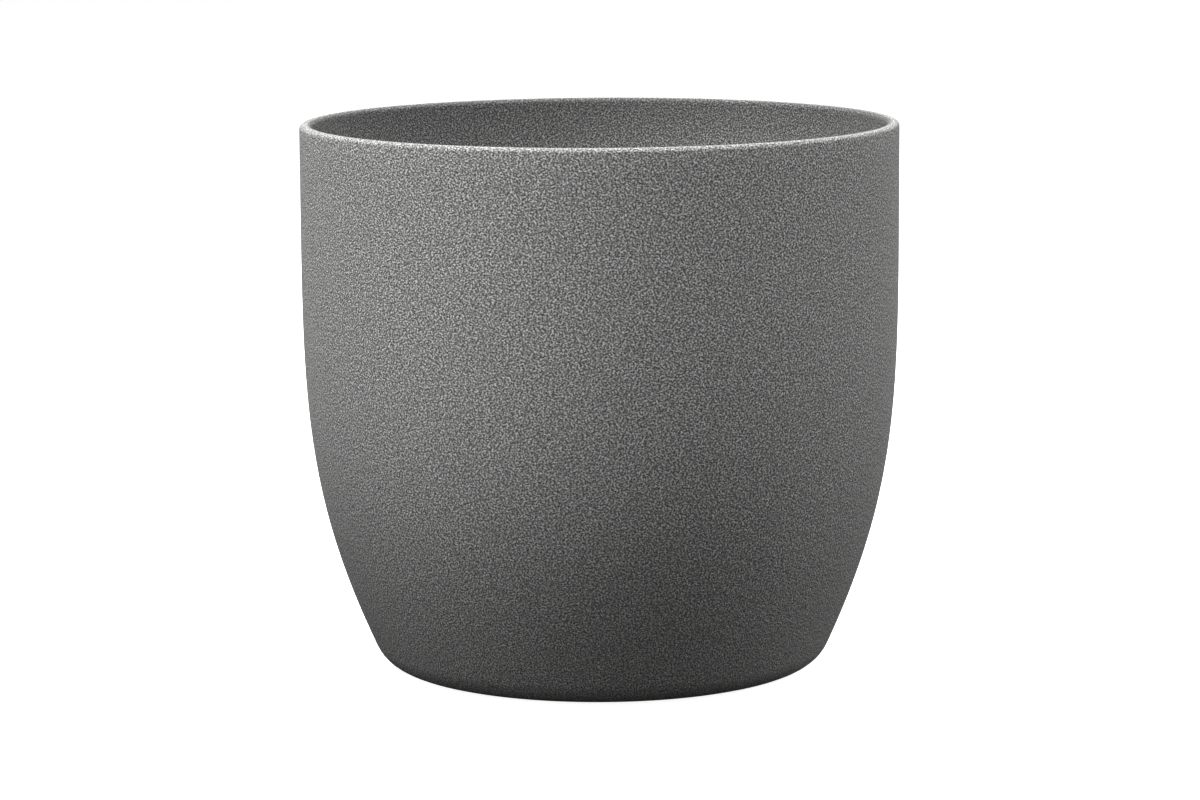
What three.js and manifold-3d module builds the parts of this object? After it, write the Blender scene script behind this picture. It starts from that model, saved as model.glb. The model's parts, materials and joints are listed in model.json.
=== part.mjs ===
// A round self-watering planter: a stone-faced ceramic pot on rubber pads, holding a plastic liner
// that lifts out. A slotted platform stands on a ledge in the liner, and the water lies below it.
// Wick cups hang from the platform into the water. A lidded tube fills the reservoir, and a float
// on a rod shows the water level in a sight glass. Two handles fold down into the liner's rim.
// Millimetres, +Z up. The origin is on the surface that the pads stand on, on the pot's axis.
import * as THREE from "three";
import { mergeVertices } from "three/addons/utils/BufferGeometryUtils.js";
import Module from "manifold-3d";

const wasm = await Module();
wasm.setup();

// ---------------------------------------------------------------- driving dimensions

const seatGap = 0.3; // between two faces that rest on each other
const slideGap = 0.4; // round a piece that slides, turns or plugs in

const pot = {
  diameter: 240, height: 220, wall: 5, base: 7,
  footRadius: 78, footFillet: 15.4, flankAngle: 65.6, // degrees of the flank above the ground
  flankPull: 1.107, shoulder: 102.4, // how far the flank runs on, and the depth of the upright wall
  innerFillet: 8, lipRound: 2.2, recessRadius: 68, recessDepth: 2,
};
const pad = { count: 4, radius: 8, thickness: 3, circle: 54 };
const liner = {
  drop: 25, rimGap: 1.5, wall: 2.2, floor: 2.4,
  footGap: 2.5, footHeight: 4, footWidth: 4, // the ring that the liner stands on
  reservoir: 40.6, ledge: 4.5, flare: 2.2, // water depth, and how far the reservoir widens upwards
  channelDepth: 9, channelWidth: 11, collar: 1.8, // the handles' channel inside the rim
  overflowWidth: 14, overflowHeight: 4, overflowDrop: 5,
};
const handle = { halfAngle: 36, width: 5.6, height: 6.4, wallGap: 1.4, tab: 2.8, tabHalfAngle: 12 };
const trunnion = { inset: 1.5, eyeLength: 9, pinRadius: 1.5, pinReach: 5.5, post: 5.5, postGap: 0.5 };
const platform = {
  thickness: 2.6, gap: 0.5, skirt: 5, skirtWall: 1.8, slotWidth: 2.8,
  places: 6, bossHeight: 1.6, bossWall: 1.8, bossGap: 1.75, // collared holes, a sixth of a turn apart
  innerSlots: { count: 12, from: 12, to: 32 },
  outerSlots: { perFan: 5, step: 5, length: 19, margin: 5 }, // a fan between each two holes
};
const cup = {
  radius: 15, foot: 12, wall: 1.8, flange: 3.5, flangeHeight: 2, floorGap: 0.6,
  windows: 6, windowWidth: 4.5, windowHeight: 22, drain: 4,
};
const fill = {
  radius: 15, wall: 1.8, flange: 3.5, flangeHeight: 2, above: 4, floorGap: 6.6,
  mouthRadius: 18.5, mouthHeight: 7, mouthFlare: 6, notchWidth: 9, notchHeight: 8,
};
const lid = { overhang: 0.3, thickness: 2.3, plugRadius: 12, plugDepth: 3, tabWidth: 12, tabReach: 4 };
const hinge = {
  reach: 4, pinRadius: 1.3, knuckle: 2.6, knuckleWidth: 13.2, ear: 3, earGap: 0.4, lidClear: 0.8, rise: 1.3,
};
const gauge = {
  chamberRadius: 13, wall: 1.6, flange: 3.5, flangeHeight: 2.4, neck: 6, tubeRadius: 7, tubeWall: 1.5,
  collarRadius: 9, collarHeight: 3, spigot: 6, floorGap: 2.6,
  windows: 4, windowWidth: 7, windowHeight: 24,
};
const glass = { wall: 1.6, height: 40, above: 16, dome: 5 };
const cap = { height: 1.8, plug: 3, hole: 2.2, holes: 4, circle: 6.5, pad: 0.5 };
const float = { gap: 1, height: 14, socket: 9 };
const rod = { radius: 1.6, bead: 5, beadHeight: 4, lift: 1 };

const potSegments = 64;
const rimSegments = 64;
const tubeSegments = 24;
const smallSegments = 12;

// ---------------------------------------------------------------- levels and radii that follow

const toRad = THREE.MathUtils.degToRad;
const standOff = pad.thickness - pot.recessDepth; // the pads lift the pot's foot this far
const potRadius = pot.diameter / 2;

// The wall's outer line: from the end of the foot's fillet, out along the flank, up into the rim.
const flank = toRad(pot.flankAngle);
const flankStart = new THREE.Vector2(
  pot.footRadius + pot.footFillet * Math.sin(flank),
  pot.footFillet * (1 - Math.cos(flank)),
);
const flankRun = ((potRadius - flankStart.x) / Math.cos(flank)) * pot.flankPull;
const wallTop = pot.height - pot.lipRound;
const wallCurve = new THREE.CubicBezierCurve(
  flankStart,
  new THREE.Vector2(
    flankStart.x + flankRun * Math.cos(flank),
    flankStart.y + flankRun * Math.sin(flank),
  ),
  new THREE.Vector2(potRadius, pot.height - pot.shoulder),
  new THREE.Vector2(potRadius, wallTop),
);
const wallSteps = 12; // straight stretches along the wall
const innerWall = Array.from({ length: wallSteps + 1 }, (_, i) => {
  const outside = wallCurve.getPoint(i / wallSteps);
  const along = wallCurve.getTangent(i / wallSteps);
  return new THREE.Vector2(outside.x - along.y * pot.wall, outside.y + along.x * pot.wall);
});
// Where the inner wall, carried on down, would meet the floor, and the fillet between them.
const filletRun = pot.innerFillet * Math.tan(flank / 2);
const cornerRadius = innerWall[0].x - (innerWall[0].y - pot.base) / Math.tan(flank);
const floorRadius = cornerRadius - filletRun;

function innerRadiusAt(z) {
  const i = Math.max(1, innerWall.findIndex((p) => p.y >= z));
  const [low, high] = [innerWall[i - 1], innerWall[i]];
  return THREE.MathUtils.mapLinear(z, low.y, high.y, low.x, high.x);
}

const linerTop = pot.height - liner.drop;
const linerRadius = innerRadiusAt(linerTop) - liner.rimGap;
const linerFoot = pot.base + seatGap;
const linerFootRadius = floorRadius - liner.footGap;
const linerFloor = linerFoot + liner.footHeight + liner.floor; // top of the liner's floor
const reservoirRadius = linerFootRadius - liner.wall;
const ledgeHeight = linerFloor + liner.reservoir;
const ledgeRadius = reservoirRadius + liner.flare;
const channelFloor = linerTop - liner.channelDepth;
const channelOuter = linerRadius - liner.collar;
const channelInner = channelOuter - liner.channelWidth;

const platformBottom = ledgeHeight + seatGap;
const platformTop = platformBottom + platform.thickness;
const platformRadius = ledgeRadius + liner.ledge - platform.gap;
const flangeBottom = platformTop + seatGap; // of every piece that hangs in the platform

const fillTop = linerTop + fill.above;
const glassTop = linerTop + glass.above;
const glassBottom = glassTop - glass.height;
const glassInner = gauge.tubeRadius + slideGap;
const chamberBottom = linerFloor + gauge.floorGap;
const chamberInner = gauge.chamberRadius - gauge.wall;
const capTop = chamberBottom + cap.plug;
const floatBottom = capTop + seatGap;
const gaugeTop = glassBottom + gauge.spigot;

// ---------------------------------------------------------------- shapes

const at = (x, z) => new THREE.Vector2(x, z);

// A solid of revolution about Z from an outline of radius and height, drawn anticlockwise.
const turned = (outline, segments) => new THREE.LatheGeometry(outline, segments).rotateX(Math.PI / 2);

function box(x0, x1, y0, y1, z0, z1) {
  return new THREE.BoxGeometry(x1 - x0, y1 - y0, z1 - z0).translate(
    (x0 + x1) / 2, (y0 + y1) / 2, (z0 + z1) / 2,
  );
}

const uprightCylinder = (radius, z0, z1, x = 0, y = 0, segments = tubeSegments) =>
  new THREE.CylinderGeometry(radius, radius, z1 - z0, segments)
    .rotateX(Math.PI / 2)
    .translate(x, y, (z0 + z1) / 2);

const lyingAlongX = (radius, x0, x1, y, z) =>
  new THREE.CylinderGeometry(radius, radius, x1 - x0, smallSegments)
    .rotateZ(Math.PI / 2)
    .translate((x0 + x1) / 2, y, z);

const lyingAlongY = (radius, y0, y1, x, z) =>
  new THREE.CylinderGeometry(radius, radius, y1 - y0, smallSegments).translate(x, (y0 + y1) / 2, z);

const upright = (shape, z0, z1, curveSegments = 2) =>
  new THREE.ExtrudeGeometry(shape, {
    depth: z1 - z0, bevelEnabled: false, curveSegments,
  }).translate(0, 0, z0);

// A bar with round ends along +X, from the axis distance `from` to `to`.
function slotShape(from, to, width) {
  const r = width / 2;
  const shape = new THREE.Shape();
  shape.absarc(from + r, 0, r, Math.PI / 2, (3 * Math.PI) / 2, false);
  shape.absarc(to - r, 0, r, -Math.PI / 2, Math.PI / 2, false);
  return shape;
}

// A plan view of part of a ring, symmetrical about +X.
function ringSector(inner, outer, halfAngle) {
  const shape = new THREE.Shape();
  shape.absarc(0, 0, outer, -halfAngle, halfAngle, false);
  shape.absarc(0, 0, inner, halfAngle, -halfAngle, true);
  return shape;
}

function solidOf(geometry) {
  const bare = geometry.clone();
  bare.deleteAttribute("normal");
  bare.deleteAttribute("uv");
  const merged = mergeVertices(bare, 1e-4);
  return new wasm.Manifold(
    new wasm.Mesh({
      numProp: 3,
      vertProperties: new Float32Array(merged.attributes.position.array),
      triVerts: new Uint32Array(merged.index.array),
    }),
  );
}

// The first geometry with others joined to it and others cut from it.
function carved(geometry, { joined = [], cut = [] }) {
  let made = solidOf(geometry);
  for (const g of joined) made = made.add(solidOf(g));
  for (const g of cut) made = made.subtract(solidOf(g));
  const mesh = made.getMesh();
  const shape = new THREE.BufferGeometry()
    .setAttribute("position", new THREE.BufferAttribute(new Float32Array(mesh.vertProperties), 3))
    .setIndex(new THREE.BufferAttribute(new Uint32Array(mesh.triVerts), 1))
    .toNonIndexed();
  shape.computeVertexNormals();
  return shape;
}

const repeated = (count, make) => Array.from({ length: count }, (_, i) => make(i));
const spoke = (i) => (i * 2 * Math.PI) / platform.places;

// The centre of the platform's hole for a round piece: its collar just clears the liner's ledge.
function holeCentre(i, radius) {
  const reach = ledgeRadius - platform.bossGap - platform.bossWall - slideGap - radius;
  return [reach * Math.cos(spoke(i)), reach * Math.sin(spoke(i))];
}

// ---------------------------------------------------------------- pot and pads

// One ceramic shell. Its underside is recessed inside a flat foot ring, and its lip is rounded.
function potGeometry() {
  const outline = new THREE.Path();
  outline.moveTo(0, pot.recessDepth);
  outline.lineTo(pot.recessRadius - pot.recessDepth, pot.recessDepth);
  outline.lineTo(pot.recessRadius, 0);
  outline.lineTo(pot.footRadius, 0);
  outline.absarc(pot.footRadius, pot.footFillet, pot.footFillet, -Math.PI / 2, flank - Math.PI / 2, false);
  const outside = repeated(wallSteps, (i) => wallCurve.getPoint((i + 1) / wallSteps));
  const lip = new THREE.Path();
  lip.absarc(potRadius - pot.lipRound, wallTop, pot.lipRound, 0, Math.PI / 2, false);
  lip.absarc(potRadius - pot.wall + pot.lipRound, wallTop, pot.lipRound, Math.PI / 2, Math.PI, false);
  const inside = [...innerWall].reverse().slice(1);
  const floor = new THREE.Path();
  floor.absarc(
    floorRadius, pot.base + pot.innerFillet, pot.innerFillet, flank - Math.PI / 2, -Math.PI / 2, true,
  );
  const points = [
    ...outline.getPoints(3), ...outside, ...lip.getPoints(3).slice(1), ...inside,
    ...floor.getPoints(3), at(0, pot.base),
  ];
  return turned(points, potSegments);
}

const padGeometry = () => uprightCylinder(pad.radius, 0, pad.thickness - seatGap, 0, 0, tubeSegments);

// ---------------------------------------------------------------- liner and handles

const eyeRadius = handle.height / 2;
const handleBottom = channelFloor + slideGap;
const handleOuter = channelOuter - handle.wallGap;
const handleInner = handleOuter - handle.width;
const handleMiddle = (handleOuter + handleInner) / 2;
const pivot = {
  x: handleMiddle * Math.cos(toRad(handle.halfAngle)) - trunnion.inset,
  y: handleMiddle * Math.sin(toRad(handle.halfAngle)) + trunnion.inset * 2,
  z: handleBottom + eyeRadius,
};
const postStart = pivot.y + trunnion.postGap;
const postEnd = postStart + trunnion.post;

// A thin bucket on a foot ring, with a ledge for the platform and a channel for the handles.
function linerGeometry() {
  const t = liner.wall;
  const underside = linerFloor - liner.floor;
  const body = turned([
    at(0, underside),
    at(linerFootRadius - liner.footWidth, underside),
    at(linerFootRadius - liner.footWidth, linerFoot),
    at(linerFootRadius, linerFoot),
    at(ledgeRadius + t, ledgeHeight - t),
    at(ledgeRadius + liner.ledge + t, ledgeHeight - t),
    at(channelInner + t, channelFloor - t),
    at(linerRadius, channelFloor - t),
    at(linerRadius, linerTop),
    at(channelOuter, linerTop),
    at(channelOuter, channelFloor),
    at(channelInner, channelFloor),
    at(ledgeRadius + liner.ledge, ledgeHeight),
    at(ledgeRadius, ledgeHeight),
    at(reservoirRadius, linerFloor),
    at(0, linerFloor),
  ], rimSegments);
  const slotTop = ledgeHeight - liner.overflowDrop;
  const overflows = repeated(4, (i) =>
    box(
      ledgeRadius - liner.ledge * 2, ledgeRadius + liner.ledge * 3,
      -liner.overflowWidth / 2, liner.overflowWidth / 2,
      slotTop - liner.overflowHeight, slotTop,
    ).rotateZ(toRad(45 + 90 * i)));
  const corners = [[1, 1], [1, -1], [-1, -1], [-1, 1]];
  const posts = corners.map(([sx, sy]) => carvedPost(sx, sy));
  const pinHoles = corners.map(([sx, sy]) =>
    lyingAlongY(
      trunnion.pinRadius + slideGap,
      Math.min(sy * (postStart - 1), sy * postEnd), Math.max(sy * (postStart - 1), sy * postEnd),
      sx * pivot.x, pivot.z,
    ));
  return carved(body, { joined: posts, cut: [...overflows, ...pinHoles] });
}

// One post for a handle's pin, rounded off where it runs into the liner's collar.
function carvedPost(sx, sy) {
  const block = box(
    sx * pivot.x - eyeRadius, sx * pivot.x + eyeRadius,
    Math.min(sy * postStart, sy * postEnd), Math.max(sy * postStart, sy * postEnd),
    channelFloor - liner.wall / 2, pivot.z + eyeRadius,
  );
  const reach = turned([
    at(linerRadius - liner.collar / 2, 0), at(linerRadius * 2, 0),
    at(linerRadius * 2, pot.height), at(linerRadius - liner.collar / 2, pot.height),
    at(linerRadius - liner.collar / 2, 0),
  ], rimSegments);
  return carved(block, { cut: [reach] });
}

// The handle on the +X side: an arc that lies in the channel, with an eye at each end.
function handleGeometry() {
  const top = handleBottom + handle.height;
  const arc = upright(
    ringSector(handleInner, handleOuter, toRad(handle.halfAngle)), handleBottom, top, 12,
  );
  const tab = upright(
    ringSector(handleInner - handle.tab, handleMiddle, toRad(handle.tabHalfAngle)),
    handleBottom, top - handle.height / 3, 6,
  );
  const eyeStart = pivot.y - trunnion.eyeLength;
  const eyes = [
    lyingAlongY(eyeRadius, eyeStart, pivot.y, pivot.x, pivot.z),
    lyingAlongY(eyeRadius, -pivot.y, -eyeStart, pivot.x, pivot.z),
  ];
  const holeStart = pivot.y - trunnion.pinReach - slideGap;
  const holes = [
    lyingAlongY(trunnion.pinRadius + slideGap, holeStart, pivot.y + 1, pivot.x, pivot.z),
    lyingAlongY(trunnion.pinRadius + slideGap, -pivot.y - 1, -holeStart, pivot.x, pivot.z),
  ];
  return carved(arc, { joined: [tab, ...eyes], cut: holes });
}

const handlePinGeometry = (sx, sy) =>
  lyingAlongY(
    trunnion.pinRadius,
    sy > 0 ? pivot.y - trunnion.pinReach : -postEnd + slideGap,
    sy > 0 ? postEnd - slideGap : trunnion.pinReach - pivot.y,
    sx * pivot.x, pivot.z,
  );

// ---------------------------------------------------------------- platform and wick cups

// A disc with an upstanding skirt, slots that let air and water through, and six collared holes.
function platformGeometry() {
  const { thickness: t, slotWidth } = platform;
  const disc = turned([
    at(0, platformBottom), at(platformRadius, platformBottom),
    at(platformRadius, platformTop + platform.skirt),
    at(platformRadius - platform.skirtWall, platformTop + platform.skirt),
    at(platformRadius - platform.skirtWall, platformTop), at(0, platformTop),
  ], rimSegments);
  const held = [cup.radius, cup.radius, cup.radius, cup.radius, fill.radius, gauge.chamberRadius];
  const bossBottom = platformBottom - platform.bossHeight;
  const collars = held.map((radius, i) =>
    uprightCylinder(
      radius + slideGap + platform.bossWall, bossBottom, platformTop - t / 2, ...holeCentre(i, radius),
    ));
  const holes = held.map((radius, i) =>
    uprightCylinder(radius + slideGap, bossBottom - 1, platformTop + 1, ...holeCentre(i, radius)));
  const through = (from, to, angle) =>
    upright(slotShape(from, to, slotWidth), platformBottom - 1, platformTop + 1).rotateZ(angle);
  const { innerSlots, outerSlots } = platform;
  const middle = repeated(innerSlots.count, (i) =>
    through(innerSlots.from, innerSlots.to, ((i + 0.5) * 2 * Math.PI) / innerSlots.count));
  const outerEnd = platformRadius - outerSlots.margin;
  const fans = repeated(platform.places, (i) =>
    repeated(outerSlots.perFan, (k) => {
      const offset = (k - (outerSlots.perFan - 1) / 2) * toRad(outerSlots.step);
      return through(outerEnd - outerSlots.length, outerEnd, spoke(i + 0.5) + offset);
    })).flat();
  return carved(disc, { joined: collars, cut: [...holes, ...middle, ...fans] });
}

// A tapered basket that hangs by its flange and carries soil down into the water.
function cupGeometry() {
  const { radius: r, foot, wall: t } = cup;
  const bottom = linerFloor + cup.floorGap;
  const top = flangeBottom + cup.flangeHeight;
  const basket = turned([
    at(cup.drain, bottom), at(foot, bottom), at(r, platformBottom - platform.bossHeight),
    at(r, flangeBottom), at(r + cup.flange, flangeBottom), at(r + cup.flange, top),
    at(r - t, top), at(r - t, platformBottom - platform.bossHeight),
    at(foot - t, bottom + t), at(cup.drain, bottom + t), at(cup.drain, bottom),
  ], tubeSegments);
  const windowBottom = bottom + t * 3;
  const windows = repeated(cup.windows / 2, (i) =>
    box(
      -r * 2, r * 2, -cup.windowWidth / 2, cup.windowWidth / 2,
      windowBottom, windowBottom + cup.windowHeight,
    ).rotateZ(((i + 0.5) * 2 * Math.PI) / cup.windows));
  return carved(basket, { cut: windows });
}

// ---------------------------------------------------------------- fill tube and its lid

const hingeAxis = { y: fill.mouthRadius + hinge.reach, z: fillTop + hinge.rise };

// A tube with a wide mouth, a flange that rests on the platform and notches at its foot.
function fillTubeGeometry() {
  const { radius: r, wall: t, mouthRadius: m } = fill;
  const bottom = linerFloor + fill.floorGap;
  const mouthBottom = fillTop - fill.mouthHeight;
  const flareBottom = mouthBottom - fill.mouthFlare;
  const tube = turned([
    at(r - t, bottom), at(r, bottom), at(r, flangeBottom), at(r + fill.flange, flangeBottom),
    at(r + fill.flange, flangeBottom + fill.flangeHeight), at(r, flangeBottom + fill.flangeHeight),
    at(r, flareBottom), at(m, mouthBottom), at(m, fillTop), at(m - t, fillTop), at(m - t, mouthBottom),
    at(r - t, flareBottom), at(r - t, bottom),
  ], tubeSegments);
  const notches = [0, Math.PI / 2].map((angle) =>
    box(-r * 2, r * 2, -fill.notchWidth / 2, fill.notchWidth / 2, bottom - 1, bottom + fill.notchHeight)
      .rotateZ(angle));
  const earStart = hinge.knuckleWidth / 2 + hinge.earGap;
  const ears = [earStart, -earStart - hinge.ear].map((x) => earGeometry(x));
  const pinHole = lyingAlongX(hinge.pinRadius + slideGap, -m, m, hingeAxis.y, hingeAxis.z);
  return carved(tube, { joined: ears, cut: [...notches, pinHole] });
}

// An ear that stands on the mouth's wall and holds one end of the lid's pin, from x to x + its width.
function earGeometry(x) {
  const rootY = fill.mouthRadius * 0.86;
  const clearY = fill.mouthRadius + lid.overhang + hinge.lidClear;
  const outerY = hingeAxis.y + hinge.knuckle;
  const side = new THREE.Shape([
    at(rootY, fillTop - fill.mouthHeight), at(outerY, fillTop - hinge.knuckle * 2),
    at(outerY, hingeAxis.z + hinge.knuckle), at(clearY, hingeAxis.z + hinge.knuckle),
    at(clearY, fillTop - 0.2), at(rootY, fillTop - 0.2),
  ]);
  // The side view is drawn in Y and Z, so its extrusion is turned to run along X.
  return new THREE.ExtrudeGeometry(side, { depth: hinge.ear, bevelEnabled: false })
    .rotateX(Math.PI / 2)
    .rotateZ(Math.PI / 2)
    .translate(x, 0, 0);
}

// A round flap with a plug below it, a thumb tab in front and a knuckle behind.
function lidGeometry() {
  const bottom = fillTop + seatGap;
  const top = bottom + lid.thickness;
  const radius = fill.mouthRadius + lid.overhang;
  const flap = uprightCylinder(radius, bottom, top);
  const plug = uprightCylinder(lid.plugRadius, bottom - lid.plugDepth, top - lid.thickness / 2);
  const tab = box(-lid.tabWidth / 2, lid.tabWidth / 2, -radius - lid.tabReach, -radius + 4, bottom, top);
  const web = box(
    -hinge.knuckleWidth / 2, hinge.knuckleWidth / 2, radius - 4, hingeAxis.y, bottom, top,
  );
  const knuckle = lyingAlongX(
    hinge.knuckle, -hinge.knuckleWidth / 2, hinge.knuckleWidth / 2, hingeAxis.y, hingeAxis.z,
  );
  const bore = lyingAlongX(
    hinge.pinRadius + slideGap, -hinge.knuckleWidth, hinge.knuckleWidth, hingeAxis.y, hingeAxis.z,
  );
  return carved(flap, { joined: [plug, tab, web, knuckle], cut: [bore] });
}

function lidPinGeometry() {
  const reach = hinge.knuckleWidth / 2 + hinge.earGap + hinge.ear;
  return lyingAlongX(hinge.pinRadius, -reach, reach, hingeAxis.y, hingeAxis.z);
}

// ---------------------------------------------------------------- level gauge

// The float's chamber, a flange that rests on the platform and the tube that guides the rod.
function gaugeGeometry() {
  const { chamberRadius: c, tubeRadius: r, tubeWall } = gauge;
  const flangeTop = flangeBottom + gauge.flangeHeight;
  const neckTop = flangeTop + gauge.neck;
  const body = turned([
    at(chamberInner, chamberBottom), at(c, chamberBottom), at(c, flangeBottom),
    at(c + gauge.flange, flangeBottom), at(c + gauge.flange, flangeTop), at(c, flangeTop),
    at(r, neckTop), at(r, glassBottom - gauge.collarHeight - seatGap),
    at(gauge.collarRadius, glassBottom - gauge.collarHeight - seatGap),
    at(gauge.collarRadius, glassBottom - seatGap), at(r, glassBottom - seatGap),
    at(r, gaugeTop), at(r - tubeWall, gaugeTop), at(r - tubeWall, neckTop),
    at(chamberInner, flangeTop), at(chamberInner, chamberBottom),
  ], tubeSegments);
  const windowBottom = chamberBottom + cap.plug * 2;
  const windows = repeated(gauge.windows / 2, (i) =>
    box(
      -c * 2, c * 2, -gauge.windowWidth / 2, gauge.windowWidth / 2,
      windowBottom, windowBottom + gauge.windowHeight,
    ).rotateZ(((i + 0.5) * 2 * Math.PI) / gauge.windows));
  return carved(body, { cut: windows });
}

// A clear cap over the top of the gauge's tube, closed by a low dome.
function glassGeometry() {
  const outer = glassInner + glass.wall;
  const crown = new THREE.Path();
  crown.moveTo(outer, glassBottom);
  crown.lineTo(outer, glassTop - glass.dome);
  crown.absellipse(0, glassTop - glass.dome, outer, glass.dome, 0, Math.PI / 2, false, 0);
  const hollow = new THREE.Path();
  hollow.absellipse(0, glassTop - glass.dome, glassInner, glass.dome - glass.wall, Math.PI / 2, 0, true, 0);
  hollow.lineTo(glassInner, glassBottom);
  hollow.lineTo(outer, glassBottom);
  return turned([...crown.getPoints(6), ...hollow.getPoints(6)], tubeSegments);
}

// The plug that closes the chamber's foot, drilled so that water comes in under the float.
function capGeometry() {
  const body = turned([
    at(0, chamberBottom - seatGap - cap.height),
    at(gauge.chamberRadius, chamberBottom - seatGap - cap.height),
    at(gauge.chamberRadius, chamberBottom - seatGap),
    at(chamberInner - slideGap, chamberBottom - seatGap),
    at(chamberInner - slideGap, capTop), at(0, capTop),
  ], tubeSegments);
  const holes = repeated(cap.holes, (i) =>
    uprightCylinder(
      cap.hole, linerFloor - 1, capTop + 1,
      cap.circle * Math.cos((i * 2 * Math.PI) / cap.holes),
      cap.circle * Math.sin((i * 2 * Math.PI) / cap.holes), smallSegments,
    ));
  return carved(body, { cut: holes });
}

function floatGeometry() {
  const radius = chamberInner - float.gap;
  const top = floatBottom + float.height;
  const socket = rod.radius + slideGap;
  return turned([
    at(0, floatBottom), at(radius - 1, floatBottom), at(radius, floatBottom + 1),
    at(radius, top - 1), at(radius - 1, top), at(socket, top), at(socket, top - float.socket),
    at(0, top - float.socket),
  ], tubeSegments);
}

// The rod stands in the float's socket and carries the red bead that shows in the glass.
function rodGeometry() {
  const bottom = floatBottom + float.height - float.socket + seatGap;
  const beadBottom = gaugeTop + rod.lift;
  return turned([
    at(0, bottom), at(rod.radius, bottom), at(rod.radius, beadBottom), at(rod.bead, beadBottom),
    at(rod.bead, beadBottom + rod.beadHeight), at(0, beadBottom + rod.beadHeight),
  ], smallSegments);
}

// ---------------------------------------------------------------- materials and assembly

const finish = (color, roughness, metalness = 0, opacity = 1) =>
  new THREE.MeshStandardMaterial({ color, roughness, metalness, opacity, transparent: opacity < 1 });
const stone = finish(0x5b5b5a, 0.9);
const rubber = finish(0x1c1c1c, 0.85);
const linerPlastic = finish(0x2b2d2e, 0.6);
const platformPlastic = finish(0x3a3d3f, 0.65);
const palePlastic = finish(0xb9bcbc, 0.5);
const signalRed = finish(0xc4281c, 0.4);
const foam = finish(0xe9e6dc, 0.8);
const clearPlastic = finish(0xe8f0f2, 0.08, 0, 0.3);
const steel = finish(0xb5b6b8, 0.35, 1);

function piece(name, geometry, material, x = 0, y = 0) {
  const mesh = new THREE.Mesh(geometry, material);
  mesh.name = name;
  mesh.position.set(x, y, 0);
  return mesh;
}

const planter = new THREE.Group();

const shell = new THREE.Group();
shell.position.z = standOff;
shell.add(piece("outer_pot", potGeometry(), stone));
planter.add(shell);

for (let i = 0; i < pad.count; i++) {
  const angle = ((i + 0.5) * 2 * Math.PI) / pad.count;
  const [x, y] = [pad.circle * Math.cos(angle), pad.circle * Math.sin(angle)];
  planter.add(piece(`foot_pad_${i + 1}`, padGeometry(), rubber, x, y));
}

const insert = new THREE.Group();
shell.add(insert);
insert.add(piece("liner", linerGeometry(), linerPlastic));
insert.add(piece("handle_right", handleGeometry(), palePlastic));
const leftHandle = piece("handle_left", handleGeometry(), palePlastic);
leftHandle.rotation.z = Math.PI;
insert.add(leftHandle);
[[1, 1], [1, -1], [-1, -1], [-1, 1]].forEach(([sx, sy], i) => {
  insert.add(piece(`handle_pin_${i + 1}`, handlePinGeometry(sx, sy), steel));
});

insert.add(piece("platform", platformGeometry(), platformPlastic));
for (let i = 0; i < 4; i++) {
  const wickCup = piece(`wick_cup_${i + 1}`, cupGeometry(), platformPlastic, ...holeCentre(i, cup.radius));
  wickCup.rotation.z = spoke(i);
  insert.add(wickCup);
}

const fillPlace = new THREE.Group();
fillPlace.position.set(...holeCentre(4, fill.radius), 0);
fillPlace.add(piece("fill_tube", fillTubeGeometry(), linerPlastic));
fillPlace.add(piece("fill_lid", lidGeometry(), palePlastic));
fillPlace.add(piece("lid_pin", lidPinGeometry(), steel));
insert.add(fillPlace);

const gaugePlace = new THREE.Group();
gaugePlace.position.set(...holeCentre(5, gauge.chamberRadius), 0);
gaugePlace.add(piece("gauge_body", gaugeGeometry(), linerPlastic));
gaugePlace.add(piece("sight_glass", glassGeometry(), clearPlastic));
gaugePlace.add(piece("chamber_cap", capGeometry(), linerPlastic));
gaugePlace.add(piece("float", floatGeometry(), foam));
gaugePlace.add(piece("indicator_rod", rodGeometry(), signalRed));
insert.add(gaugePlace);

export default planter;
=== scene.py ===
# A round self-watering planter: a stone-faced ceramic pot on rubber pads, with a plastic liner that
# lifts out of it. The liner holds water below a slotted platform, with wick cups, a lidded fill tube
# and a float gauge. Metres, +Z up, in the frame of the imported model.
import json
import math

import bmesh
import bpy
from mathutils import Matrix, Vector
from mathutils.kdtree import KDTree


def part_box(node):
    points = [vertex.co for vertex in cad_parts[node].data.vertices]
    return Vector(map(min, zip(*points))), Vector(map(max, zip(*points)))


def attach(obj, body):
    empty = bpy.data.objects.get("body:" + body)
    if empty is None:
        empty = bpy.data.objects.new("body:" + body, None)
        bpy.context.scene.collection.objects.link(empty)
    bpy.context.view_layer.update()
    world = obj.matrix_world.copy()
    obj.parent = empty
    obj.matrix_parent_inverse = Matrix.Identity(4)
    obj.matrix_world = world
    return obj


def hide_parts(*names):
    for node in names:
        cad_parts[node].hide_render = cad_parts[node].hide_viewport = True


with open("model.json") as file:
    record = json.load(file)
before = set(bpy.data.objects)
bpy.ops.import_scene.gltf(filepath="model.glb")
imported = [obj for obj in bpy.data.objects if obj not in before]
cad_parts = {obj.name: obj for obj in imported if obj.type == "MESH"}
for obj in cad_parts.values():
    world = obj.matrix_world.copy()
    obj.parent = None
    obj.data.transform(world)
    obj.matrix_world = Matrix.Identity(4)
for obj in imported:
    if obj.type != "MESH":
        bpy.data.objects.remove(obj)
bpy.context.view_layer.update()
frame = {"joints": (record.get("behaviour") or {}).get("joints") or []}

joints = {joint["name"]: joint for joint in frame["joints"]}
mm = 0.001


# ---------------------------------------------------------------- the outer pot
# Cast ceramic, turned on a wheel mould: a narrow rounded lip, an upright wall that curves in to a
# flat foot ring, and a shallow recess underneath. A gritty stone-effect coat covers it inside and out.

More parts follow.
